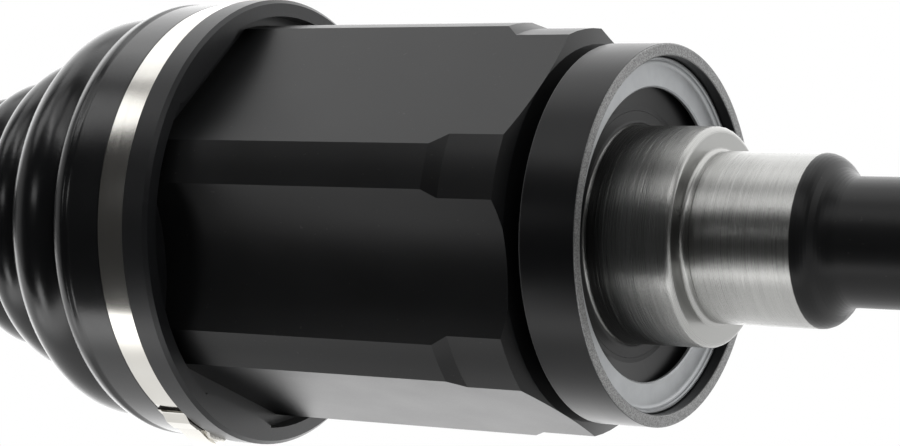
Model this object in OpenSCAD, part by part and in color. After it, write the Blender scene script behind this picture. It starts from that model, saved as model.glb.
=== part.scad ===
// Drive shaft with a plunging tripod joint, a ball joint and an integral stub shaft.
// X runs along the shaft towards the gearbox and Z is up. The origin is the centre of the
// bearing seat. All sizes are in millimetres.

/* [Stub shaft] */
// Diameter of the ground seat for the support bearing
seat_d = 35; // [32:0.5:38]
// Length of the bearing seat
seat_len = 22.8; // [16:0.2:30]
// Diameter of the larger ground journal beside the seat
journal_d = 45; // [42:0.5:47]
// Length of that journal
journal_len = 19.4; // [17:0.2:24]
// Diameter of the painted shaft
stub_d = 26; // [22:0.5:28]
// Distance from the seat's centre to the gearbox tip
stub_reach = 310; // [240:1:420]
// Diameter of the ground land under the gearbox oil seal
seal_land_d = 30; // [29:0.5:32]
// Length of the oil seal land
seal_land_len = 28; // [20:1:40]

/* [Splines and thread] */
// Tip diameter of the gearbox splines
gearbox_spline_d = 28; // [26:0.5:29]
// Toothed length of the gearbox splines
gearbox_spline_len = 30; // [20:1:40]
// Tip diameter of the hub splines
hub_spline_d = 29; // [27:0.5:31]
// Toothed length of the hub splines
hub_spline_len = 46; // [36:1:56]
// Height of a spline tooth
spline_tooth = 1.1; // [0.8:0.1:1.4]
// Number of spline teeth
spline_count = 30; // [24:1:36]
// Outside diameter of the hub thread
thread_d = 24; // [22:0.5:25]
// Length of the hub thread
thread_len = 24; // [22:1:30]
// Pitch of the hub thread
thread_pitch = 1.5; // [1.25:0.25:2]

/* [Dust ring] */
// Outside diameter of the dust ring
ring_d = 78.7; // [74:0.5:82]
// Width of the dust ring
ring_w = 12.6; // [11:0.2:16]
// Wall of the dust ring
ring_wall = 2.6; // [2:0.1:3.5]
// How far the ring's open face lies behind the journal's shoulder
ring_set = 11.6; // [10:0.2:13]
// Hole of the plated shield inside the ring
shield_hole_d = 60.7; // [56:0.2:63]
// Sheet thickness of the shield
shield_t = 1.2; // [0.8:0.1:1.6]
// How far the shield lies inside the ring's face
shield_set = 3.7; // [3:0.1:4.2]
// Width of the groove between the ring and the housing
neck_w = 3.5; // [3:0.1:6]

/* [Tripod housing] */
// Diameter over the housing's lands
land_d = 87.7; // [85.5:0.1:92]
// Diameter over the lands beyond the step at the closed end
step_d = 85.1; // [83:0.1:85.4]
// Distance from the axis to each of the three flats
flat_reach = 39.3; // [38.5:0.1:40.5]
// Distance from the axis to the bottom of each trough
trough_reach = 37.8; // [36.5:0.1:38.5]
// Radius of the troughs
trough_r = 41.6; // [38:0.2:50]
// Length of the lobed body
housing_len = 97.9; // [94:0.2:110]
// Half the width of each roller track
track_half = 16.7; // [16.5:0.05:17]
// Distance from the axis to the bottom of each track
track_reach = 35.2; // [34.8:0.1:35.4]
// Radius of the bore between the tracks
core_r = 28; // [27:0.1:29]
// Thickness of the housing's closed end
floor_t = 12; // [10:0.5:20]

/* [Tripod] */
// Distance from the housing's open end to the joint centre at rest
centre_set = 42; // [40:0.5:46]
// Distance from the axis to the middle of each roller
roller_pitch = 25.5; // [25:0.1:26]
// Outside diameter of the rollers
roller_d = 32; // [30:0.1:32.2]
// Width of the rollers
roller_w = 11.6; // [11:0.2:12]
// Diameter of the trunnions
trunnion_d = 18; // [17:0.1:19]
// Diameter of the needles
needle_d = 2.4; // [2:0.1:2.6]
// Needles round each trunnion
needle_count = 24; // [18:1:24]
// Diameter of the spider's hub
spider_hub_d = 36; // [34:0.5:37]
// Length of the spider's hub
spider_len = 22; // [20:0.5:26]

/* [Bar] */
// Distance between the two joint centres
bar_span = 390; // [290:1:420]
// Diameter of the bar
bar_d = 26; // [24:0.5:27]
// Diameter of the bar's necks beside the joints
bar_neck_d = 23; // [20:0.5:23]
// Tip diameter of the bar's splines
bar_spline_d = 25; // [24:0.2:25.4]

/* [Ball joint] */
// Diameter of the balls
ball_d = 17.5; // [16.5:0.1:17.6]
// Radius of the circle that the ball centres lie on
ball_pitch = 29; // [28.8:0.1:29.4]
// Inner radius of the cage
cage_in = 28; // [27.6:0.1:28.4]
// Outer radius of the cage
cage_out = 32; // [31.6:0.1:32.4]
// Half the width of the cage
cage_half = 13.5; // [12.5:0.1:14]
// Half the width of the inner race
race_half = 11; // [10:0.1:12]
// Outside diameter of the outer race
bell_d = 90; // [88:0.5:96]
// Distance from the joint centre to the outer race's mouth
bell_mouth = 19; // [18:0.2:19.6]
// Distance from the joint centre to the face that meets the hub bearing
bell_back = 50; // [47:0.5:56]
// Diameter of the face that meets the hub bearing
hub_face_d = 58; // [52:0.5:62]
// Diameter of the plain pilot behind that face
pilot_d = 35; // [32:0.5:38]
// Length of the plain pilot
pilot_len = 7; // [5:0.5:10]
// Largest angle of the ball joint either way
ball_joint_angle = 45; // [30:1:46]

/* [Boots and clamps] */
// Diameter of the bush's rim on the tripod housing
bush_rim_d = 99.2; // [97.6:0.1:104]
// Width of that rim
bush_rim_w = 6.05; // [5:0.05:8]
// Distance from the housing's open end to the rim's face
bush_set = 17.1; // [15:0.1:20]
// Depth of the open recess in the rim's face
bush_recess = 4; // [2:0.1:4.5]
// Wall of the bush over the lands
bush_wall = 1.75; // [1.2:0.05:2.2]
// Wall of the boots
boot_wall = 2.5; // [1.8:0.1:2.6]
// Diameter of the inner boot's large cuff
inner_cuff_d = 97.4; // [96:0.1:100]
// Length of the inner boot's large cuff beyond its clamp
inner_cuff_len = 10.8; // [7:0.1:12]
// Length of both boots' small cuffs
small_cuff_len = 15; // [13:0.5:20]
// Width of the large clamps
band_w = 7.25; // [6:0.05:9]
// Thickness of the clamp bands
band_t = 0.8; // [0.6:0.05:1]
// Width of the small clamps
small_band_w = 6.5; // [5:0.1:8]
// Length of the outer boot's large cuff
outer_cuff_len = 15; // [13:0.5:16]

/* [Hidden] */

$fn = 72;
tiny = 0.01;

// Gap round a pressed or clamped fit
snug = 0.03;
// Gap round a part that turns on needles
run_gap = 0.05;
// Gap between parts that swing past each other
swing_gap = 0.3;
// Gap round the balls in their grooves
groove_gap = 0.35;

// Places along the shaft, from the bearing seat leftwards
seat_end = -seat_len / 2;
journal_end = seat_end - journal_len;
ring_face = seat_end - ring_set;
ring_back = ring_face - ring_w;
lobes_end = ring_back - neck_w;
mouth = lobes_end - housing_len;
step_len = 13.8;
step_slope = 3.3;
bush_face = mouth + bush_set;
band_end = bush_face - bush_rim_w;
joint_x = mouth + centre_set;
ball_joint_x = joint_x - bar_span;
hub_face = ball_joint_x - bell_back;

// Stub shaft details
spigot_r = journal_d / 2 + 3;
neck_r = spigot_r + 5.5;
corner_r = 1.2;
root_fillet = 1;
undercut = 0.25;
shoulder_r = 4;
shoulder_fillet = 4.6;

// Trunnion directions in the housing: the first points to +Y
lobes = [0, 120, 240];

function swapped(points) = [for (p = points) [p[1], p[0]]];
function arc(cx, cr, r, from, to, steps = 6) =
    [for (i = [0:steps]) let (a = from + (to - from) * i / steps) [cx + r * cos(a), cr + r * sin(a)]];

// A solid turned about the X axis from an outline of [x, radius] points
module turned(points)
    rotate([0, 90, 0]) rotate_extrude() polygon(swapped(points));

// A flat shape in Y and Z, stretched along X from one place to another
module along_x(from, to)
    translate([from, 0, 0]) rotate([90, 0, 90]) linear_extrude(to - from) children();

module lobe_copies()
    for (a = lobes) rotate(a) children();

// The housing's lobed outline without its lands, grown by a gap
module lobed_section(gap = 0) {
    big = land_d;
    difference() {
        circle(big);
        lobe_copies() {
            translate([flat_reach + gap, -big]) square([big, 2 * big]);
            rotate(60) translate([trough_reach + gap + trough_r, 0]) circle(trough_r);
        }
    }
}

// Spline teeth as a star outline
function spline_points(tip_r, root_r, count) =
    [for (i = [0:count - 1], k = [[-0.3, root_r], [-0.16, tip_r], [0.16, tip_r], [0.3, root_r]])
        let (a = 360 / count * (i + k[0])) [k[1] * cos(a), k[1] * sin(a)]];

// A toothed stretch with chamfered ends
module splined(from, to, tip_r, lead = 1) {
    root_r = tip_r - spline_tooth;
    intersection() {
        along_x(from, to) polygon(spline_points(tip_r, root_r, spline_count));
        turned([[from, 0], [from, root_r - 0.2], [from + lead, tip_r + 0.1], [to - lead, tip_r + 0.1],
            [to, root_r - 0.2], [to, 0]]);
    }
}

// An open spring ring about the X axis
module spring_ring(x, in_r, out_r, width, open = 40)
    translate([x - width / 2, 0, 0]) rotate([0, 90, 0]) rotate([0, 0, open / 2])
        rotate_extrude(angle = 360 - open) translate([in_r, 0]) square([out_r - in_r, width]);

circlip_w = 1.6;
circlip_depth = 1.1;

// Cone-shaped centre holes left by the lathe in both ends
centre_hole_r = 3.2;

// Gearbox end: seal land, neck, splines and a groove for the circlip
tip = stub_reach;
gear_from = tip - gearbox_spline_len;
land_from = gear_from - 4 - seal_land_len;
gear_clip_x = tip - 6;
gear_root = gearbox_spline_d / 2 - spline_tooth;

module stub_profile() {
    turn = acos(1 - (seat_d - stub_d) / 2 / (shoulder_r + shoulder_fillet));
    seat_r = seat_d / 2;
    journal_r = journal_d / 2;
    shoulder_x = seat_len / 2 + 0.5;
    reach = shoulder_r + shoulder_fillet;
    turned(concat(
        [[lobes_end - floor_t / 2, 0], [lobes_end - floor_t / 2, neck_r], [ring_back, neck_r],
            [ring_back, spigot_r], [journal_end, spigot_r]],
        arc(journal_end + root_fillet, journal_r + root_fillet, root_fillet, 180, 270),
        arc(seat_end - corner_r, journal_r - corner_r, corner_r, 90, 0),
        arc(seat_end + root_fillet, seat_r - undercut + root_fillet, root_fillet, 180, 270),
        [[seat_end + root_fillet + 0.6, seat_r - undercut], [seat_end + root_fillet + 0.9, seat_r]],
        arc(shoulder_x, seat_r - shoulder_r, shoulder_r, 90, 90 - turn),
        arc(shoulder_x + reach * sin(turn), seat_r - shoulder_r + reach * cos(turn),
            shoulder_fillet, 270 - turn, 270),
        [[land_from - 4, stub_d / 2], [land_from, seal_land_d / 2 - 0.6],
            [land_from + 0.6, seal_land_d / 2], [gear_from - 5, seal_land_d / 2],
            [gear_from - 4, gear_root], [gear_clip_x - circlip_w / 2, gear_root],
            [gear_clip_x - circlip_w / 2, gear_root - circlip_depth],
            [gear_clip_x + circlip_w / 2, gear_root - circlip_depth],
            [gear_clip_x + circlip_w / 2, gear_root], [tip - 1.5, gear_root], [tip, gear_root - 1.5],
            [tip, centre_hole_r], [tip - centre_hole_r * 1.7, 0]]
    ));
}

// Tripod housing: three-lobed body, journals, shaft and gearbox splines in one forging
module tripod_housing() {
    land_r = land_d / 2;
    step_r = step_d / 2;
    color("#1c1d1f") difference() {
        union() {
            intersection() {
                along_x(mouth, lobes_end) lobed_section();
                turned([[mouth, 0], [mouth, land_r - 1], [mouth + 1, land_r],
                    [lobes_end - step_len - step_slope, land_r], [lobes_end - step_len, step_r],
                    [lobes_end - 1.2, step_r], [lobes_end, flat_reach], [lobes_end, 0]]);
            }
            stub_profile();
            splined(gear_from, tip - 2, gearbox_spline_d / 2);
        }
        along_x(mouth - 1, lobes_end - floor_t) {
            circle(core_r);
            lobe_copies() translate([0, -track_half]) square([track_reach, 2 * track_half]);
        }
        turned([[mouth - 1, 0], [mouth - 1, core_r + 4.6], [mouth + 7, core_r], [mouth + 7, 0]]);
        translate([gear_clip_x - circlip_w / 2, 0, 0]) rotate([0, 90, 0]) difference() {
            cylinder(r = gearbox_spline_d, h = circlip_w);
            translate([0, 0, -1]) cylinder(r = gear_root - circlip_depth, h = circlip_w + 2);
        }
    }
}

module gearbox_circlip()
    color("#6d6f72")
        spring_ring(gear_clip_x, gear_root - circlip_depth + snug, gearbox_spline_d / 2, circlip_w - 0.2);

// Turned ring pressed on the housing's spigot, open towards the bearing
module dust_ring() {
    out_r = ring_d / 2;
    in_r = out_r - ring_wall;
    color("#232426") turned([[ring_back, spigot_r + snug], [ring_back, out_r - 0.3],
        [ring_back + 0.3, out_r], [ring_face - 0.25, out_r], [ring_face, out_r - 0.25],
        [ring_face, in_r + 0.3], [ring_face - 0.3, in_r], [ring_face - shield_set - shield_t, in_r],
        [ring_face - shield_set - shield_t - 0.3, in_r - 1], [journal_end, spigot_r + 1],
        [journal_end, spigot_r + snug]]);
}

// Plated pressed shield with a turned-up outer lip, seated in the ring
module ring_shield() {
    out_r = ring_d / 2 - ring_wall - snug;
    front = ring_face - shield_set;
    lip = 1.1;
    color("#9aa5ad") turned(concat(
        [[front - shield_t, shield_hole_d / 2 + 0.3], [front - shield_t, out_r],
            [front + lip - 0.3, out_r], [front + lip, out_r - 0.3], [front + lip, out_r - 0.7]],
        arc(front + 0.8, out_r - 0.9 - 0.8, 0.8, 90, 180, 4),
        [[front, shield_hole_d / 2 + 0.3], [front - 0.3, shield_hole_d / 2],
            [front - shield_t + 0.3, shield_hole_d / 2]]
    ));
}

// Bush that turns the lobed housing into a round seat for the boot
bush_sleeve_r = land_d / 2 + bush_wall;
bush_end = mouth + 0.5;
module boot_bush() {
    rim_r = bush_rim_d / 2;
    edge = 0.8;
    color("#202123") difference() {
        turned([[bush_end, 0], [bush_end, bush_sleeve_r], [band_end, bush_sleeve_r],
            [band_end, rim_r], [bush_face - edge, rim_r], [bush_face, rim_r - edge], [bush_face, 0]]);
        intersection() {
            along_x(bush_end - 1, bush_face + 1) lobed_section(snug);
            turned([[bush_end - 1, 0], [bush_end - 1, land_d / 2 + snug],
                [bush_face + 1, land_d / 2 + snug], [bush_face + 1, 0]]);
        }
        along_x(bush_face - bush_recess, bush_face + 1) difference() {
            circle(land_d / 2 + 2.05);
            lobe_copies() polygon([[flat_reach + 3.9, -9], [flat_reach + 4.4, -12.5],
                [flat_reach + 8.5, -16], [flat_reach + 8.5, 16], [flat_reach + 4.4, 12.5],
                [flat_reach + 3.9, 9]]);
        }
    }
}

// Bellows: crest and root arcs, from the large end in the given direction.
// cut is the depth below the outer skin, so that a second call gives the inner skin.
function crest_x(first, dir, tubes, gap, i) =
    i == 0 ? first + dir * tubes[0]
        : crest_x(first, dir, tubes, gap, i - 1) + dir * (tubes[i - 1] + gap + tubes[i]);
function bellows(first, dir, crests, tubes, gap, cut) = [
    for (i = [0:len(crests) - 1])
        let (x = crest_x(first, dir, tubes, gap, i), centre = crests[i] - tubes[i], last = i == len(crests) - 1,
            root_x = x + dir * (tubes[i] + gap / 2),
            root_centre = last ? 0 : min(centre, crests[i + 1] - tubes[i + 1]) - 0.6)
        each concat(
            arc(x, centre, tubes[i] - cut, dir > 0 ? 180 : 0, dir > 0 ? 0 : 180, 8),
            last ? [] : arc(root_x, root_centre, gap / 2 + cut, dir > 0 ? 180 : 0, dir > 0 ? 360 : -180, 6)
        )
];
function reversed(points) = [for (i = [len(points) - 1:-1:0]) points[i]];

// Boot on the tripod joint: cuff over the bush, then bellows down to the bar
inner_crests = [45.6, 36.8, 31.3, 27.5, 24.8];
inner_tubes = [8.2, 6.6, 5.4, 4.6, 3.9];
inner_gap = 1.8;
inner_band_end = band_end - band_w;
inner_cuff_end = inner_band_end - inner_cuff_len;
inner_first = inner_cuff_end - 3.6;
inner_last = crest_x(inner_first, -1, inner_tubes, inner_gap, len(inner_tubes) - 1)
    - inner_tubes[len(inner_tubes) - 1];
seat_r = bar_d / 2 + snug;
inner_small_from = inner_last - 3;
inner_small_to = inner_small_from - small_cuff_len;
small_cuff_r = seat_r + boot_wall + 1.2;

// Outline of the small cuff: a seat for its clamp between two low rims
function small_cuff(from, to, dir) =
    let (groove = (small_cuff_len - small_band_w - 0.6) / 2)
    [[from, small_cuff_r], [from + dir * groove, small_cuff_r],
        [from + dir * groove, small_cuff_r - 1], [to - dir * groove, small_cuff_r - 1],
        [to - dir * groove, small_cuff_r], [to - dir * 0.6, small_cuff_r], [to, small_cuff_r - 0.6],
        [to, seat_r], [from, seat_r]];

module inner_boot() {
    cuff_r = inner_cuff_d / 2;
    sleeve_r = bush_sleeve_r + snug;
    ridge = 2.4;
    color("#17181a") turned(concat(
        [[band_end - snug, sleeve_r], [band_end - snug, cuff_r - band_t],
            [inner_band_end, cuff_r - band_t], [inner_band_end, cuff_r]],
        arc(inner_cuff_end, cuff_r - ridge, ridge, 90, 180, 5),
        [[inner_cuff_end - ridge, cuff_r - ridge - 3],
            [inner_first + 0.4, inner_crests[0] - inner_tubes[0] - 0.6]],
        bellows(inner_first, -1, inner_crests, inner_tubes, inner_gap, 0),
        small_cuff(inner_small_from, inner_small_to, -1),
        [[inner_last + boot_wall, seat_r + 2]],
        reversed(bellows(inner_first, -1, inner_crests, inner_tubes, inner_gap, boot_wall)),
        [[inner_first + boot_wall + 1.6, inner_crests[0] - inner_tubes[0] - 3.4],
            [inner_cuff_end + 0.4, sleeve_r - 2.6], [inner_cuff_end + 1.2, sleeve_r]]
    ));
}

// A clamp band: strip with its tail passed under a bridge, bent back into a flap and held
// by a tab at its side. Angles run from the bottom towards -Y.
function polar(r, a) = [-r * sin(a), -r * cos(a)];
module clamp_band(from, width, in_r, ear_angle) {
    r = in_r + band_t;
    k = 48 / r;
    lap_t = 0.5;
    lap_r = r + lap_t;
    difference() {
        union() {
            turned([[from, in_r], [from, r], [from + width, r], [from + width, in_r]]);
            rotate([0, 90, 0]) rotate([0, 0, -ear_angle - 13.6 * k]) translate([0, 0, from])
                rotate_extrude(angle = 12.6 * k) translate([r - 0.1, 0]) square([lap_t + 0.1, width]);
            along_x(from + 0.4, from + width - 0.4) polygon([polar(r - 0.1, ear_angle + 12 * k),
                polar(lap_r, ear_angle + 12 * k), polar(lap_r + 1, ear_angle + 9 * k),
                polar(lap_r + 1.1, ear_angle + 5.5 * k), polar(lap_r + 0.3, ear_angle + 3 * k),
                polar(r - 0.1, ear_angle + 2 * k)]);
            along_x(from + 0.2, from + width - 1.3) polygon([polar(r - 0.1, ear_angle + 5 * k),
                polar(lap_r + 0.6, ear_angle + 3.6 * k), polar(r + 3.1, ear_angle - 5 * k),
                polar(r + 2.4, ear_angle - 5.3 * k), polar(r + 0.3, ear_angle + 1.2 * k),
                polar(r - 0.1, ear_angle + k)]);
            along_x(from + width - 0.8, from + width) polygon([polar(r - 0.1, ear_angle + 2 * k),
                polar(r + 1.7, ear_angle), polar(r + 2.1, ear_angle - 5.6 * k),
                polar(r - 0.1, ear_angle - 7.2 * k)]);
        }
        along_x(from + 0.8, from + width + 1) polygon([polar(r + 0.02, ear_angle + 13.6 * k),
            polar(r + 2, ear_angle + 13.6 * k), polar(r + 2, ear_angle + 12.6 * k),
            polar(r + 0.02, ear_angle + 12.6 * k)]);
        along_x(from - 1, from + width * 0.45) polygon([polar(r + 0.02, ear_angle + 10.5 * k),
            polar(lap_r + 0.5, ear_angle + 8.6 * k), polar(lap_r + 0.6, ear_angle + 5.8 * k),
            polar(r + 0.02, ear_angle + 5.4 * k)]);
    }
}

module inner_large_clamp()
    color("#c9c8c2") clamp_band(inner_band_end + snug, band_w - 2 * snug,
        inner_cuff_d / 2 - band_t + snug, 30);

module inner_small_clamp()
    color("#c9c8c2") clamp_band((inner_small_from + inner_small_to - small_band_w) / 2, small_band_w,
        small_cuff_r - 1 + snug, 30);

// Places a trunnion's parts: local Z runs out along the trunnion from the joint centre
module on_trunnion(i)
    translate([joint_x, 0, 0]) rotate([lobes[i] - 90, 0, 0]) children();

// Spider: splined hub with three ground trunnions
trunnion_end = roller_pitch + roller_w / 2 + 1.9;
retainer_from = roller_pitch + roller_w / 2 + 0.1;
retainer_t = 1;
spider_x0 = joint_x - spider_len / 2;
spider_x1 = joint_x + spider_len / 2;
module tripod_spider()
    color("#8b8d90") difference() {
        union() {
            turned([[spider_x0, 0], [spider_x0, spider_hub_d / 2 - 2], [spider_x0 + 2, spider_hub_d / 2],
                [spider_x1 - 2, spider_hub_d / 2], [spider_x1, spider_hub_d / 2 - 2], [spider_x1, 0]]);
            for (i = [0:2]) on_trunnion(i) rotate_extrude() polygon([[0, 8], [trunnion_d / 2, 8],
                [trunnion_d / 2, retainer_from - 0.05], [trunnion_d / 2 - 1.2, retainer_from - 0.05],
                [trunnion_d / 2 - 1.2, retainer_from + retainer_t + 0.05],
                [trunnion_d / 2 - 0.2, retainer_from + retainer_t + 0.05],
                [trunnion_d / 2 - 0.8, trunnion_end], [0, trunnion_end]]);
        }
        along_x(spider_x0 - 1, spider_x1 + 1)
            polygon(spline_points(bar_spline_d / 2 + snug, bar_spline_d / 2 - spline_tooth + snug,
                spline_count));
    }

// Barrel roller that runs in a track of the housing
module roller(i) {
    needle_out = trunnion_d / 2 + needle_d + 3 * run_gap;
    color("#a6a8ab") on_trunnion(i) translate([0, 0, roller_pitch]) difference() {
        intersection() {
            sphere(d = roller_d);
            cylinder(d = roller_d + 1, h = roller_w, center = true);
        }
        cylinder(r = needle_out, h = roller_w + 2, center = true);
    }
}

// Full set of loose needles round one trunnion
module needle_set(i) {
    length = roller_w - 1;
    color("#c4c6c9") on_trunnion(i) for (k = [0:needle_count - 1]) rotate(360 / needle_count * k)
        translate([trunnion_d / 2 + needle_d / 2 + run_gap, 0, roller_pitch - length / 2])
            cylinder(d = needle_d, h = length, $fn = 24);
}

// Split washer in the trunnion's groove, which keeps the roller and its needles on
module roller_retainer(i)
    color("#7c7e81") on_trunnion(i) translate([0, 0, retainer_from])
        rotate_extrude(angle = 330) translate([trunnion_d / 2 - 1.2 + snug, 0])
            square([needle_d + 2.2, retainer_t]);

// Bar: splined at both ends, necked beside the joints
bar_collar_r = 14.4;
spider_clip_x = spider_x1 + 1.2;
race_x0 = ball_joint_x - race_half;
race_x1 = ball_joint_x + race_half;
race_clip_x = race_x0 - 1.2;
outer_first = ball_joint_x + bell_mouth + 3.2;
outer_crests = [41.5, 36.4, 31.6, 27.4, 24];
outer_tubes = [5.6, 5, 4.4, 4, 3.6];
outer_gap = 1.6;
outer_last = crest_x(outer_first, 1, outer_tubes, outer_gap, len(outer_tubes) - 1)
    + outer_tubes[len(outer_tubes) - 1];
outer_small_from = outer_last + 3;
outer_small_to = outer_small_from + small_cuff_len;
bar_root = bar_spline_d / 2 - spline_tooth;

module drive_bar() {
    bar_r = bar_d / 2;
    neck_r = bar_neck_d / 2;
    clip_r = bar_root - 1;
    color("#1c1d1f") difference() {
        union() {
            turned([[race_clip_x - 3, 0], [race_clip_x - 3, bar_root - 1.5], [race_clip_x - 1.5, bar_root],
                [race_x1 + 0.2, bar_root], [race_x1 + 0.2, bar_collar_r - 1], [race_x1 + 1.2, bar_collar_r - 0.6],
                [race_x1 + 3.2, bar_collar_r - 1.4], [race_x1 + 7, neck_r], [outer_small_from - 26, neck_r],
                [outer_small_from - 14, bar_r], [inner_small_from + 12, bar_r],
                [inner_small_from + 24, neck_r], [spider_x0 - 7, neck_r], [spider_x0 - 3.2, bar_collar_r - 1],
                [spider_x0 - 1.2, bar_collar_r], [spider_x0 - 0.2, bar_collar_r], [spider_x0 - 0.2, bar_root],
                [spider_clip_x + 1.5, bar_root], [spider_clip_x + 3, bar_root - 1.5],
                [spider_clip_x + 3, 0]]);
            splined(race_clip_x - 2.6, race_x1 + 0.6, bar_spline_d / 2);
            splined(spider_x0 - 0.6, spider_clip_x + 2.6, bar_spline_d / 2);
        }
        for (x = [race_clip_x, spider_clip_x])
            translate([x - circlip_w / 2, 0, 0]) rotate([0, 90, 0]) difference() {
                cylinder(r = bar_d, h = circlip_w);
                translate([0, 0, -1]) cylinder(r = clip_r, h = circlip_w + 2);
            }
    }
}

module spider_circlip()
    color("#6d6f72")
        spring_ring(spider_clip_x, bar_root - 1 + snug, bar_spline_d / 2 + 1.6, circlip_w - 0.2);

module inner_race_circlip()
    color("#6d6f72")
        spring_ring(race_clip_x, bar_root - 1 + snug, bar_spline_d / 2 + 1.6, circlip_w - 0.2);

// Ball joint: places at the ball joint's centre
module at_ball_joint()
    translate([ball_joint_x, 0, 0]) children();

ball_angles = [0, 60, 120, 180, 240, 300];
groove_r = ball_d / 2 + groove_gap;
half_turn = ball_joint_angle / 2;

// A tube along the meridian at an angle round the axis, from one latitude to another
module meridian_tube(angle, from, to)
    rotate([angle, 0, 0]) rotate([180, 0, 90]) rotate([0, 0, from])
        rotate_extrude(angle = to - from) translate([ball_pitch, 0]) circle(groove_r);

// A side groove, along the path that the cage carries a ball on round the Y axis
module side_tube(angle) {
    reach = ball_pitch * abs(sin(angle));
    side = sin(angle) > 0 ? 1 : -1;
    translate([0, ball_pitch * cos(angle), 0]) {
        rotate([-90, 0, 0]) rotate([0, 0, side > 0 ? -90 - half_turn : 30])
            rotate_extrude(angle = half_turn + 60) translate([reach, 0]) circle(groove_r);
        translate([-reach * sin(half_turn), 0, side * reach * cos(half_turn)]) sphere(groove_r);
    }
}

// Inner race: ball outside, six grooves, splined bore. As in the outer race, the four side
// grooves follow the path that the cage carries their balls along round the Y axis.
module inner_race() {
    out_r = cage_in - swing_gap;
    color("#96989b") at_ball_joint() difference() {
        rotate([0, 90, 0]) rotate_extrude() intersection() {
            circle(out_r);
            translate([0, -race_half]) square([out_r + 1, 2 * race_half]);
        }
        for (a = [0, 180]) meridian_tube(a, -40, 40);
        for (side = [-1, 1]) translate([0, side * ball_pitch * cos(60), 0]) rotate([90, 0, 0])
            rotate_extrude() translate([ball_pitch * sin(60), 0]) circle(groove_r);
        along_x(-race_half - 1, race_half + 1)
            polygon(spline_points(bar_spline_d / 2 + snug, bar_spline_d / 2 - spline_tooth + snug,
                spline_count));
    }
}

// Cage: ball-shaped shell with six windows
module ball_cage() {
    window = ball_d + 2 * run_gap;
    window_len = ball_d + 2.4;
    color("#7f8184") at_ball_joint() difference() {
        rotate([0, 90, 0]) rotate_extrude() intersection() {
            difference() {
                circle(cage_out);
                circle(cage_in);
            }
            translate([0, -cage_half]) square([cage_out + 1, 2 * cage_half]);
        }
        for (a = ball_angles) rotate([a - 90, 0, 0]) linear_extrude(cage_out + 2) {
            square([window, window_len - 8], center = true);
            square([window - 8, window_len], center = true);
            for (x = [-1, 1], y = [-1, 1])
                translate([x * (window / 2 - 4), y * (window_len / 2 - 4)]) circle(4);
        }
    }
}

module joint_ball(i)
    color("#d2d4d6") at_ball_joint() rotate([ball_angles[i], 0, 0])
        translate([0, ball_pitch, 0]) sphere(d = ball_d);

// Outer race: bell with six grooves, hub bearing face, splined and threaded stem
pilot_end = hub_face - pilot_len;
hub_spline_end = pilot_end - 2 - hub_spline_len;
thread_end = hub_spline_end - 3 - thread_len;
cuff_seat_r = bell_d / 2 - boot_wall;
cuff_seat_len = outer_cuff_len + 1;
thread_root = thread_d / 2 - 0.61 * thread_pitch;
thread_turns = floor((thread_len - 3) / thread_pitch);

module outer_race() {
    bell_r = bell_d / 2;
    m = ball_joint_x + bell_mouth;
    hub_root = hub_spline_d / 2 - spline_tooth;
    color("#2a2b2d") difference() {
        union() {
            turned(concat(
                [[m, 0], [m, cuff_seat_r - 0.8], [m - 0.8, cuff_seat_r], [m - cuff_seat_len, cuff_seat_r],
                    [m - cuff_seat_len, bell_r - 0.6], [m - cuff_seat_len - 0.6, bell_r]],
                arc(ball_joint_x - 14, bell_r - 20, 20, 90, 150, 8),
                [[hub_face + 8, hub_face_d / 2 + 2], [hub_face + 7, hub_face_d / 2],
                    [hub_face + 0.6, hub_face_d / 2], [hub_face, hub_face_d / 2 - 0.6]],
                arc(hub_face - 1, pilot_d / 2 + 1, 1, 0, -90, 4),
                [[pilot_end + 0.5, pilot_d / 2], [pilot_end, pilot_d / 2 - 0.5], [pilot_end - 2, hub_root],
                    [hub_spline_end, hub_root], [hub_spline_end - 1, thread_root],
                    [hub_spline_end - 3, thread_root]],
                [for (k = [0:thread_turns - 1], p = [[0.1, thread_root], [0.45, thread_d / 2],
                    [0.55, thread_d / 2], [0.9, thread_root]])
                    [hub_spline_end - 3 - (k + p[0]) * thread_pitch, p[1]]],
                [[thread_end + 1, thread_root - 0.2], [thread_end, thread_root - 1.2],
                    [thread_end, centre_hole_r], [thread_end + centre_hole_r * 1.7, 0]]
            ));
            splined(hub_spline_end, pilot_end - 2, hub_spline_d / 2);
        }
        at_ball_joint() {
            sphere(cage_out + swing_gap);
            turned([[0, 0], [0, cage_out + swing_gap], [bell_mouth - 4.5, cage_out + 0.5],
                [bell_mouth + 0.1, cage_out + 4.6], [bell_mouth + 0.1, 0]]);
            for (a = [0, 180]) {
                meridian_tube(a, -half_turn, 60);
                rotate([a, 0, 0]) rotate([0, 0, half_turn]) translate([0, ball_pitch, 0]) sphere(groove_r);
            }
            for (a = [60, 120, 240, 300]) side_tube(a);
        }
    }
}

// Boot on the ball joint
outer_cuff_from = ball_joint_x + bell_mouth - outer_cuff_len;
module outer_boot() {
    cuff_r = bell_d / 2;
    m = ball_joint_x + bell_mouth;
    band_from = outer_cuff_from + (outer_cuff_len - band_w) / 2;
    top = outer_crests[0] - outer_tubes[0];
    color("#17181a") turned(concat(
        [[outer_cuff_from, cuff_seat_r + snug], [outer_cuff_from, cuff_r], [band_from, cuff_r],
            [band_from, cuff_r - band_t], [band_from + band_w, cuff_r - band_t],
            [band_from + band_w, cuff_r], [m + 0.6, cuff_r], [m + 1.8, cuff_r - 1.2],
            [m + 2.6, top - 1]],
        bellows(outer_first, 1, outer_crests, outer_tubes, outer_gap, 0),
        small_cuff(outer_small_from, outer_small_to, 1),
        [[outer_last - boot_wall, seat_r + 2]],
        reversed(bellows(outer_first, 1, outer_crests, outer_tubes, outer_gap, boot_wall)),
        [[m + 0.4, top - 3], [m + 0.3, cuff_seat_r + snug]]
    ));
}

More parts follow.
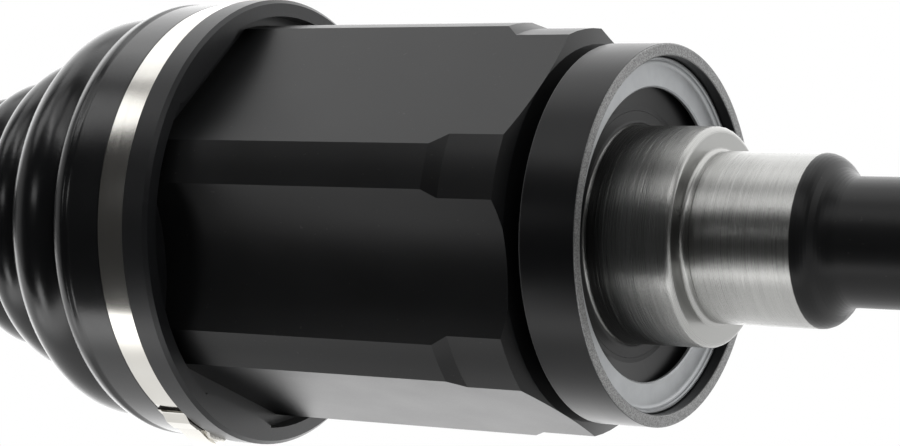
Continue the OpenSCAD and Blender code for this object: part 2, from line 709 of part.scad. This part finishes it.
module outer_large_clamp()
    color("#c9c8c2") clamp_band(outer_cuff_from + (outer_cuff_len - band_w) / 2 + snug,
        band_w - 2 * snug, bell_d / 2 - band_t + snug, 150);

module outer_small_clamp()
    color("#c9c8c2") clamp_band((outer_small_from + outer_small_to - small_band_w) / 2, small_band_w,
        small_cuff_r - 1 + snug, 150);

tripod_housing();
dust_ring();
ring_shield();
gearbox_circlip();
boot_bush();
inner_boot();
inner_large_clamp();
inner_small_clamp();
tripod_spider();
roller(0);  // roller_1
roller(1);  // roller_2
roller(2);  // roller_3
needle_set(0);  // needle_set_1
needle_set(1);  // needle_set_2
needle_set(2);  // needle_set_3
roller_retainer(0);  // roller_retainer_1
roller_retainer(1);  // roller_retainer_2
roller_retainer(2);  // roller_retainer_3
spider_circlip();
drive_bar();
inner_race();
inner_race_circlip();
ball_cage();
joint_ball(0);  // ball_1
joint_ball(1);  // ball_2
joint_ball(2);  // ball_3
joint_ball(3);  // ball_4
joint_ball(4);  // ball_5
joint_ball(5);  // ball_6
outer_race();
outer_boot();
outer_large_clamp();
outer_small_clamp();
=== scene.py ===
import math

import bpy
from mathutils import Matrix, Vector


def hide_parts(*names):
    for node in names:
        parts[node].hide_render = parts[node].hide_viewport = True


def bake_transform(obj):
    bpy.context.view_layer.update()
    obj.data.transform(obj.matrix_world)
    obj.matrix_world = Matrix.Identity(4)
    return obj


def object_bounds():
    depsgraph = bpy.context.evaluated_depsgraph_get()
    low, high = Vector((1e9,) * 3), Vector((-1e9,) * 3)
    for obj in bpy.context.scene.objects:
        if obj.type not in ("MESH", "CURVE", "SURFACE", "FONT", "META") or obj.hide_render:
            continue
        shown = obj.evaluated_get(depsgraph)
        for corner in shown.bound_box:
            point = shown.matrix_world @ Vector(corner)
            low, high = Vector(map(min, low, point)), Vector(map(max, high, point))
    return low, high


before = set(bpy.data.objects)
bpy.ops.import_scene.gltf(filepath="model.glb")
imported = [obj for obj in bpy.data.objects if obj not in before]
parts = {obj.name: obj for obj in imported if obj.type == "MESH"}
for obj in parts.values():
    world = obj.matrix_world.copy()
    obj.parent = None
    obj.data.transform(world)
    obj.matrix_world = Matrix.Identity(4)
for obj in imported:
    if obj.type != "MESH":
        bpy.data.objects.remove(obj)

cad_box = [list(corner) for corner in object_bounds()]

# The camera stands beside the gearbox end, a little above the shaft, and is rolled
# slightly, as the photograph shows. The lens is a long one.
swing, raise_up, roll = math.radians(57.342), math.radians(9.437), math.radians(-4.097)
looked_at = Vector((-0.075895, 0, 0.001105))
distance = 0.59362
back = Vector((
    math.cos(swing) * math.cos(raise_up),
    -math.sin(swing) * math.cos(raise_up),
    math.sin(raise_up),
))
level = (-back).cross(Vector((0, 0, 1))).normalized()
upright = level.cross(-back)
right = level * math.cos(roll) + upright * math.sin(roll)
top = upright * math.cos(roll) - level * math.sin(roll)
bpy.ops.object.select_all(action="DESELECT")
bpy.ops.object.camera_add()
camera = bpy.context.object
camera.name = "photo_camera"
camera.data.sensor_width = 36
camera.data.lens = 110.53
camera.data.clip_start = 0.01
camera.matrix_world = (Matrix.Translation(looked_at + back * distance)
                       @ Matrix((right, top, back)).transposed().to_4x4())
bpy.context.scene.camera = camera
bpy.context.scene.view_settings.view_transform = "Standard"


# Shader nodes, written as sums.
class Amount:
    """A number that varies over a surface, with Python's own arithmetic."""

    def __init__(self, finish, socket):
        self.finish = finish
        self.socket = socket

    def __add__(self, other):
        return self.finish.sum_of("ADD", self, other)

    def __radd__(self, other):
        return self.finish.sum_of("ADD", other, self)

    def __sub__(self, other):
        return self.finish.sum_of("SUBTRACT", self, other)

    def __rsub__(self, other):
        return self.finish.sum_of("SUBTRACT", other, self)

    def __mul__(self, other):
        return self.finish.sum_of("MULTIPLY", self, other)


class Finish:
    """A surface finish, made of shader nodes."""

    def __init__(self, owner):
        owner.use_nodes = True
        self.owner = owner
        self.tree = owner.node_tree
        self.tree.nodes.clear()

    def node(self, kind, settings=None, inputs=None, output=0):
        """Add a node, link or set its inputs, and give one of its outputs, if it has any."""
        made = self.tree.nodes.new(kind)
        for name, value in (settings or {}).items():
            setattr(made, name, value)
        for name, value in (inputs or {}).items():
            if isinstance(value, Amount):
                self.tree.links.new(value.socket, made.inputs[name])
            else:
                made.inputs[name].default_value = value
        return Amount(self, made.outputs[output]) if len(made.outputs) else None

    def sum_of(self, operation, first, second):
        return self.node("ShaderNodeMath", {"operation": operation}, {0: first, 1: second})

    def axes(self, vector):
        """The three numbers of a vector."""
        split = self.node("ShaderNodeSeparateXYZ", inputs={"Vector": vector})
        return [Amount(self, split.socket.node.outputs[axis]) for axis in "XYZ"]

    def spot(self):
        """Where a point of the surface is."""
        return self.node("ShaderNodeTexCoord", output="Object")

    def rise(self, amount, low, high):
        """0 below low, 1 above high, and smooth between them."""
        return self.node("ShaderNodeMapRange", {"interpolation_type": "SMOOTHSTEP"},
                         {"Value": amount, "From Min": low, "From Max": high})

    def within(self, amount, low, high, edge):
        """1 between low and high, 0 outside, with soft edges."""
        return (self.rise(amount, low - edge, low + edge)
                * (1 - self.rise(amount, high - edge, high + edge)))

    def mixed(self, first, second, share):
        """A colour between two others."""
        return self.node("ShaderNodeMix", {"data_type": "RGBA"}, {0: share, 6: first, 7: second}, 2)


# Studio: white all round for the camera. For the rest it is a dark room with a wide light
# overhead, and with light behind, below and far to the left. The dark part draws the dark
# band along the bare journals. Limits are shares of the ray's direction, from -1 to 1.
room = Finish(bpy.data.worlds.new("studio_room"))
bpy.context.scene.world = room.owner
pure_white = (1, 1, 1, 1)
dark_glow, overhead_glow, around_glow, left_glow = 0.045, 1.10, 2.1, 0.5
sideways, behind, height = room.axes(room.node("ShaderNodeTexCoord", output="Generated"))
overhead = room.rise(height, 0.73, 0.81) * (1 - room.rise(sideways, -0.38, -0.20) * 0.9)
leftward = 1 - room.rise(sideways, -0.93, -0.80)
backdrop = room.rise(behind, 0.0, 0.40)
below = 1 - room.rise(height, -0.85, -0.75)
around = backdrop + below - backdrop * below
glow = (dark_glow + overhead * overhead_glow + (1 - overhead) * around * around_glow
        + leftward * left_glow)
seen = room.node("ShaderNodeLightPath", output="Is Camera Ray")
dim = room.node("ShaderNodeBackground", inputs={"Color": pure_white, "Strength": glow})
white = room.node("ShaderNodeBackground", inputs={"Color": pure_white, "Strength": 1.0})
shown = room.node("ShaderNodeMixShader", inputs={0: seen, 1: dim, 2: white})
room.node("ShaderNodeOutputWorld", inputs={"Surface": shown})

# Table: white, with its front edge close under the shaft. What the metal mirrors of it is
# brighter along that edge and, left of the ring, under the axis.
table_length, table_depth, front_edge, table_gap = 4, 2.5, -0.092, 0.0004
table_white = Finish(bpy.data.materials.new("white_table"))
spread = table_white.node("ShaderNodeBsdfDiffuse", inputs={"Color": (0.86, 0.86, 0.86, 1)})
camera_ray = table_white.node("ShaderNodeLightPath", output="Is Camera Ray")
glossy_ray = Amount(table_white, camera_ray.socket.node.outputs["Is Glossy Ray"])
table_along, table_across, _ = table_white.axes(table_white.spot())
mirrored = 1.35 + (table_white.rise(table_across, -0.035, -0.010) * 1.2
                   * (1 - table_white.rise(table_along, -0.045, -0.020)))
mirrored = mirrored + ((1 - table_white.rise(table_across, -0.075, -0.055)) * 2.2
                       * table_white.rise(table_along, -0.220, -0.195))
lit = table_white.node("ShaderNodeEmission", inputs={
    "Color": pure_white, "Strength": camera_ray + glossy_ray * mirrored})
table_look = table_white.node("ShaderNodeMixShader", inputs={
    0: camera_ray + glossy_ray, 1: spread, 2: lit})
table_white.node("ShaderNodeOutputMaterial", inputs={"Surface": table_look})

bpy.ops.object.select_all(action="DESELECT")
bpy.ops.mesh.primitive_plane_add(size=1, location=(0, 0, 0))
table = bpy.context.object
table.name = "table_top"
bpy.ops.object.mode_set(mode="EDIT")
bpy.ops.mesh.select_all(action="SELECT")
bpy.ops.transform.resize(value=(table_length, table_depth, 1))
bpy.ops.transform.translate(value=(-0.1, table_depth / 2 + front_edge, cad_box[0][2] - table_gap))
bpy.ops.mesh.subdivide(number_cuts=3)
bpy.ops.object.mode_set(mode="OBJECT")
table.data.materials.append(table_white.owner)

# Soft box over the shaft.
bpy.ops.object.light_add(type="AREA", location=(-0.3, 0.15, 0.9))
soft_box = bpy.context.object
soft_box.name = "overhead_soft_box"
soft_box.data.shape = "RECTANGLE"
soft_box.data.size = 1.2
soft_box.data.size_y = 0.4
soft_box.data.energy = 1.8
soft_box.rotation_euler = (math.radians(-8), 0, 0)

# Small lights in front. Wide strips above are mirrored by the bare journals, the clamp and
# the cuff, with a bright narrow one along their lower edge. Two low ones are mirrored by
# the trough. Each has its place, what it points at, its length, its width and its glare.
journals = (-0.01, -0.014, 0.012)
right_journals = (0.125, -0.014, 0.012)
strips = {
    "journal_strip_left": ((-0.190, -0.155, 0.294), journals, 0.13, 0.123, 1.25),
    "journal_strip_right": ((0.125, -0.155, 0.294), right_journals, 0.45, 0.123, 1.2),
    "journal_edge_left": ((-0.190, -0.203, 0.270), journals, 0.13, 0.026, 3.2),
    "journal_edge_right": ((0.125, -0.203, 0.270), right_journals, 0.45, 0.026, 2.6),
    "clamp_strip": ((-0.400, -0.143, 0.281), (-0.145, -0.040, 0.030), 0.12, 0.125, 1.9),
    "trough_light_low": ((-0.215, -0.238, -0.130), (-0.070, -0.038, 0.008), 0.07, 0.055, 4.0),
    "trough_light_high": ((-0.215, -0.262, 0.100), (-0.070, -0.038, -0.010), 0.07, 0.030, 2.8),
}
for name, (place, aim, length, width, glare) in strips.items():
    bpy.ops.object.light_add(type="AREA", location=place)
    strip_light = bpy.context.object
    strip_light.name = name
    strip_light.data.shape = "RECTANGLE"
    strip_light.data.size = length
    strip_light.data.size_y = width
    strip_light.data.energy = glare * 4 * length * width
    strip_light.rotation_euler = (Vector(place) - Vector(aim)).to_track_quat("Z", "Y").to_euler()


# Tools for the finishes. All their lengths are in metres.
def speckle(finish, spot, size, detail=2.0, rough=0.5):
    """Even noise with features of about that size, from 0 to 1."""
    return finish.node("ShaderNodeTexNoise", inputs={
        "Vector": spot, "Scale": 1 / size, "Detail": detail, "Roughness": rough})


def turning_marks(finish, along, across, up, pitch, smear=6.0):
    """Fine rings round the shaft, as a lathe or a grinding wheel leaves."""
    stretched = finish.node("ShaderNodeCombineXYZ", inputs={
        "X": along * (1 / pitch), "Y": across * smear, "Z": up * smear})
    return finish.node("ShaderNodeTexNoise", inputs={
        "Vector": stretched, "Scale": 1.0, "Detail": 3.0, "Roughness": 0.65})


def bumped(finish, height, strength, depth=0.0001):
    return finish.node("ShaderNodeBump", inputs={
        "Height": height, "Strength": strength, "Distance": depth})


def shaded(finish, **sockets):
    """Close a finish with the named inputs of its shader."""
    named = {name.replace("_", " "): value for name, value in sockets.items()}
    surface = finish.node("ShaderNodeBsdfPrincipled", inputs=named)
    finish.node("ShaderNodeOutputMaterial", inputs={"Surface": surface})
    return finish.owner


def dress(names, material):
    """Give the named solids one material."""
    for name in names:
        parts[name].data.materials.clear()
        parts[name].data.materials.append(material)


# Housing, bar and outer race: steel forgings, sprayed satin black after machining. The
# journals, the oil seal's land and the splines were masked and stay bare, ground steel.
masked_edge = 0.00012


def painted_forging(name, bare, widest_bare):
    """Black paint with bare steel between the given places along the shaft."""
    finish = Finish(bpy.data.materials.new(name))
    spot = finish.spot()
    along, across, up = finish.axes(spot)
    flat = finish.node("ShaderNodeCombineXYZ", inputs={"Y": across, "Z": up})
    out = finish.node("ShaderNodeVectorMath", {"operation": "LENGTH"}, {0: flat}, "Value")
    steel = finish.within(along, *bare[0], masked_edge)
    for start, end in bare[1:]:
        steel = steel + finish.within(along, start, end, masked_edge)
    steel = steel * (1 - finish.rise(out, widest_bare - 0.0002, widest_bare + 0.0002))
    cloud = speckle(finish, spot, 0.012, 3.0)
    grain = speckle(finish, spot, 0.0005, 3.0, 0.7)
    dust = finish.rise(speckle(finish, spot, 0.0009, 1.0), 0.73, 0.80)
    rings = turning_marks(finish, along, across, up, 0.00007)
    broad = turning_marks(finish, along, across, up, 0.0022, 9.0)
    paint_tone = finish.mixed((0.0053, 0.0055, 0.0057, 1), (0.0086, 0.0088, 0.0092, 1), cloud)
    paint_tone = finish.mixed(paint_tone, (0.05, 0.05, 0.049, 1), dust * 0.35)
    steel_tone = finish.mixed((0.22, 0.22, 0.214, 1), (0.36, 0.36, 0.35, 1), rings * 0.6 + broad * 0.4)
    paint_gloss = (0.29 + cloud * 0.07 + grain * 0.05) * (1 - steel)
    steel_gloss = (0.19 + rings * 0.18) * steel
    return shaded(
        finish,
        Base_Color=finish.mixed(paint_tone, steel_tone, steel),
        Metallic=steel,
        Roughness=paint_gloss + steel_gloss,
        Specular_IOR_Level=0.17,
        Normal=bumped(finish, grain * (1 - steel) * 0.08 + rings * steel * 0.42, 1.0),
    )


dress(["tripod_housing"], painted_forging(
    "black_painted_housing", [(-0.0305, 0.01195), (0.2484, 0.2765)], 0.0234))
dress(["drive_bar"], painted_forging(
    "black_painted_bar", [(-0.505, -0.4735), (-0.1065, -0.078)], 0.0134))
dress(["outer_race"], painted_forging(
    "black_painted_outer_race", [(-0.5435, -0.5345), (-0.5200, -0.4630)], 0.0340))


# Dust ring: turned from steel and blackened. Its open rim was faced afterwards and shows
# bare, speckled grey metal.
def ring_metal():
    finish = Finish(bpy.data.materials.new("blackened_ring"))
    spot = finish.spot()
    along, across, up = finish.axes(spot)
    faced = finish.rise(along, -0.02325, -0.02312)
    fleck = finish.rise(speckle(finish, spot, 0.0003, 2.0, 0.7), 0.35, 0.65)
    cloud = speckle(finish, spot, 0.01, 3.0)
    rings = turning_marks(finish, along, across, up, 0.0004)
    # painted highlight: a thin band along the ring's left edge is lightened a quarter of the way to
    # bare grey, standing in for the light that edge catches
    edge = finish.within(along, -0.0356, -0.0352, masked_edge)
    bare = finish.mixed((0.13, 0.132, 0.13, 1), (0.30, 0.30, 0.30, 1), fleck)
    black = finish.mixed((0.0035, 0.0037, 0.0042, 1), (0.0065, 0.0067, 0.0073, 1), cloud)
    return shaded(
        finish,
        Base_Color=finish.mixed(black, bare, faced * 0.85 + edge * 0.25),
        Metallic=faced * 0.7,
        Roughness=0.27 + cloud * 0.06 + rings * 0.05 + faced * 0.10,
        Specular_IOR_Level=0.16,
        Normal=bumped(finish, fleck * faced + rings * 0.3, 0.25),
    )


dress(["dust_ring"], ring_metal())


# Shield: a thin pressed steel ring with a turned-up lip, zinc plated to a dull grey.
def zinc_plating():
    finish = Finish(bpy.data.materials.new("zinc_plating"))
    spot = finish.spot()
    cloud = speckle(finish, spot, 0.006, 4.0, 0.6)
    grain = speckle(finish, spot, 0.0004, 2.0)
    return shaded(
        finish,
        Base_Color=finish.mixed((0.25, 0.257, 0.262, 1), (0.40, 0.41, 0.42, 1), cloud),
        Metallic=0.85,
        Roughness=0.42 + cloud * 0.12,
        Normal=bumped(finish, grain, 0.12),
    )


dress(["ring_shield"], zinc_plating())


# Bush: moulded black plastic, round outside and three-lobed inside, with a rim that stands
# beside the clamp. The boots are of a softer and glossier black.
def moulded_black(name, low, high, gloss, shine):
    finish = Finish(bpy.data.materials.new(name))
    spot = finish.spot()
    cloud = speckle(finish, spot, 0.009, 3.0)
    grain = speckle(finish, spot, 0.0007, 3.0, 0.6)
    worn = finish.rise(speckle(finish, spot, 0.0035, 4.0, 0.75), 0.55, 0.75)
    return shaded(
        finish,
        Base_Color=finish.mixed(low, high, cloud * 0.7 + worn * 0.3),
        Metallic=0.0,
        Roughness=gloss + cloud * 0.08 + worn * 0.05,
        Specular_IOR_Level=shine,
        Normal=bumped(finish, grain * 0.6 + cloud * 0.4, 0.16, 0.00015),
    )


dress(["boot_bush"], moulded_black(
    "bush_plastic", (0.0085, 0.0088, 0.0095, 1), (0.015, 0.0155, 0.017, 1), 0.33, 0.26))
rubber = moulded_black(
    "boot_rubber", (0.0040, 0.0043, 0.0047, 1), (0.0080, 0.0084, 0.0092, 1), 0.18, 0.38)


# Boots: blow-moulded black elastomer bellows, semi-gloss, with thick cuffs. The inner boot
# is two pieces here, which meet in the valley behind the cuff. The outlines are in millimetres.
skin_steps = 168
weld = 0.000002


def select_all_points():
    bpy.ops.mesh.select_all(action="SELECT")


def turned_skin(name, outline):
    """A closed outline of (along, radius) points, swept round the shaft."""
    bpy.ops.object.select_all(action="DESELECT")
    bpy.ops.mesh.primitive_plane_add(size=0.002, location=(0, 0, 0))
    piece = bpy.context.object
    piece.name = name
    bpy.ops.object.mode_set(mode="EDIT")
    select_all_points()
    bpy.ops.mesh.merge(type="CENTER")
    x, r = outline[0]
    bpy.ops.transform.translate(value=(x / 1000, 0, r / 1000))
    for next_x, next_r in outline[1:] + outline[:1]:
        bpy.ops.mesh.extrude_region_move(
            TRANSFORM_OT_translate={"value": ((next_x - x) / 1000, 0, (next_r - r) / 1000)})
        x, r = next_x, next_r
    select_all_points()
    bpy.ops.mesh.remove_doubles(threshold=weld)
    select_all_points()
    bpy.ops.mesh.spin(steps=skin_steps, angle=2 * math.pi, center=(0, 0, 0), axis=(1, 0, 0))
    select_all_points()
    bpy.ops.mesh.remove_doubles(threshold=weld)
    select_all_points()
    bpy.ops.mesh.normals_make_consistent(inside=False)
    bpy.ops.object.mode_set(mode="OBJECT")
    bpy.ops.object.shade_smooth_by_angle(angle=math.radians(38))
    piece.data.materials.append(rubber)
    return piece


def bow(x, r, size, start, end, steps):
    """Points of an arc round (x, r), from one angle in degrees to another."""
    angles = [math.radians(start + (end - start) * i / steps) for i in range(steps + 1)]
    return [(x + size * math.cos(angle), r + size * math.sin(angle)) for angle in angles]


def waves(first, way, crests, sizes, gap, depth):
    """The bellows' outer line at depth 0, and its inner line at the wall's thickness."""
    points, x = [], first
    for i, (crest, size) in enumerate(zip(crests, sizes)):
        x += way * (size if i == 0 else sizes[i - 1] + gap + size)
        middle = crest - size
        start = 180 if way > 0 else 0
        points += bow(x, middle, size - depth, start, 180 - start, 16)
        if i < len(crests) - 1:
            root = min(middle, crests[i + 1] - sizes[i + 1]) - 0.6
            points += bow(x + way * (size + gap / 2), root, gap / 2 + depth,
                          start, start + 180 * way, 8)
    return points


def waves_end(first, way, sizes, gap):
    """Where the bellows end along the shaft."""
    return first + way * sum(2 * size for size in sizes) + way * gap * (len(sizes) - 1)


def small_cuff(last, way):
    """The cuff on the bar beyond the bellows, with a groove for its clamp."""
    line = [(3, 16.9), (3.6, 17.2), (6.4, 17.2), (6.9, 16.9), (7.1, 16.25), (13.9, 16.25),
            (14.1, 16.9), (14.6, 17.2), (17.4, 17.2), (18, 16.6), (18, 13.1), (2, 13.1), (-2.2, 15.6)]
    return [(last + way * x, r) for x, r in line]


wall = 2.5
inner_crests, inner_sizes = [45.6, 36.8, 31.3, 27.5, 24.8], [8.2, 6.6, 5.4, 4.6, 3.9]
inner_start, inner_gap = -147.6, 1.8
inner_last = waves_end(inner_start, -1, inner_sizes, inner_gap)
outer_crests, outer_sizes = [41.5, 36.4, 31.6, 27.4, 24.0], [5.6, 5.0, 4.4, 4.0, 3.6]
outer_start, outer_gap = -462.8, 1.6
outer_last = waves_end(outer_start, 1, outer_sizes, outer_gap)

boot_cuff = turned_skin("inner_boot_cuff", [
    (-126.0, 46.1), (-126.0, 47.5), (-126.3, 47.8), (-132.9, 47.8), (-133.2, 47.95), (-133.25, 48.5),
    (-133.5, 48.72), (-141.2, 48.72), (-141.6, 48.4), (-142.3, 48.4), (-142.8, 48.76), (-143.4, 48.8),
    (-145.7, 48.1), (-146.1, 47.7), (-146.34, 46.9), (-146.5, 44.4), (-146.8, 40.4), (-147.0, 38.3),
    (-147.2, 37.4), (-146.6, 35.0), (-145.2, 36.8), (-144.0, 43.5), (-142.9, 46.0),
])
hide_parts("inner_boot")
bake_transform(boot_cuff)

boot_bellows = turned_skin(
    "inner_boot_bellows",
    [(-146.7, 37.6)]
    + waves(inner_start, -1, inner_crests, inner_sizes, inner_gap, 0)
    + small_cuff(inner_last, -1)
    + waves(inner_start, -1, inner_crests, inner_sizes, inner_gap, wall)[::-1]
    + [(-146.5, 35.2)]
)
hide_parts("inner_boot")
inner_last / 1000
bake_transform(boot_bellows)

outer_boot = turned_skin(
    "outer_boot_bellows",
    [(-481.0, 42.55), (-481.0, 44.7), (-480.7, 45.0), (-477.3, 45.0), (-477.1, 44.8), (-477.05, 44.2),
     (-469.9, 44.2), (-469.85, 44.8), (-469.6, 45.0)]
    + bow(-465.6, 43.6, 1.4, 90, 0, 8)
    + [(-463.4, 38.0), (-463.2, 36.2)]
    + waves(outer_start, 1, outer_crests, outer_sizes, outer_gap, 0)
    + small_cuff(outer_last, 1)
    + waves(outer_start, 1, outer_crests, outer_sizes, outer_gap, wall)[::-1]
    + [(-465.4, 35.0), (-465.6, 42.55)]
)
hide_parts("outer_boot")
outer_last / 1000
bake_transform(outer_boot)


# Clamps: stainless strip wrapped round each cuff, with the tail of the strip hooked into
# slots and a folded ear that was crimped to pull it tight.
def stainless():
    finish = Finish(bpy.data.materials.new("stainless_strip"))
    spot = finish.spot()
    along, across, up = finish.axes(spot)
    brushed = finish.node("ShaderNodeCombineXYZ", inputs={
        "X": along * 5200, "Y": across * 16, "Z": up * 16})
    lines = finish.node("ShaderNodeTexNoise", inputs={"Vector": brushed, "Scale": 1.0, "Detail": 2.0})
    cloud = speckle(finish, spot, 0.014, 2.0)
    return shaded(
        finish,
        Base_Color=finish.mixed((0.42, 0.405, 0.37, 1), (0.55, 0.54, 0.515, 1), cloud),
        Metallic=1.0,
        Roughness=0.13 + lines * 0.10,
        Normal=bumped(finish, lines, 0.08, 0.00005),
    )


dress(["inner_large_clamp", "inner_small_clamp", "outer_large_clamp", "outer_small_clamp"], stainless())


# Inside the joints: ground and hardened bearing steel with a film of grease, and spring
# steel rings and washers.
def plain_steel(name, low, high, gloss):
    finish = Finish(bpy.data.materials.new(name))
    spot = finish.spot()
    cloud = speckle(finish, spot, 0.005, 3.0)
    grain = speckle(finish, spot, 0.0003, 2.0)
    return shaded(
        finish,
        Base_Color=finish.mixed(low, high, cloud),
        Metallic=1.0,
        Roughness=gloss + cloud * 0.08 + grain * 0.05,
        Normal=bumped(finish, grain, 0.06),
    )


ground = plain_steel("ground_steel", (0.36, 0.36, 0.355, 1), (0.52, 0.52, 0.51, 1), 0.26)
polished = plain_steel("bearing_steel", (0.58, 0.585, 0.59, 1), (0.70, 0.705, 0.71, 1), 0.10)
spring = plain_steel("spring_steel", (0.12, 0.12, 0.125, 1), (0.20, 0.20, 0.205, 1), 0.34)
for name in parts:
    if name.startswith(("needle_set", "ball_")) and name != "ball_cage":
        dress([name], polished)
    elif name.startswith("roller_retainer") or name.endswith("circlip"):
        dress([name], spring)
    elif name.startswith("roller_") or name in ("tripod_spider", "inner_race", "ball_cage"):
        dress([name], ground)
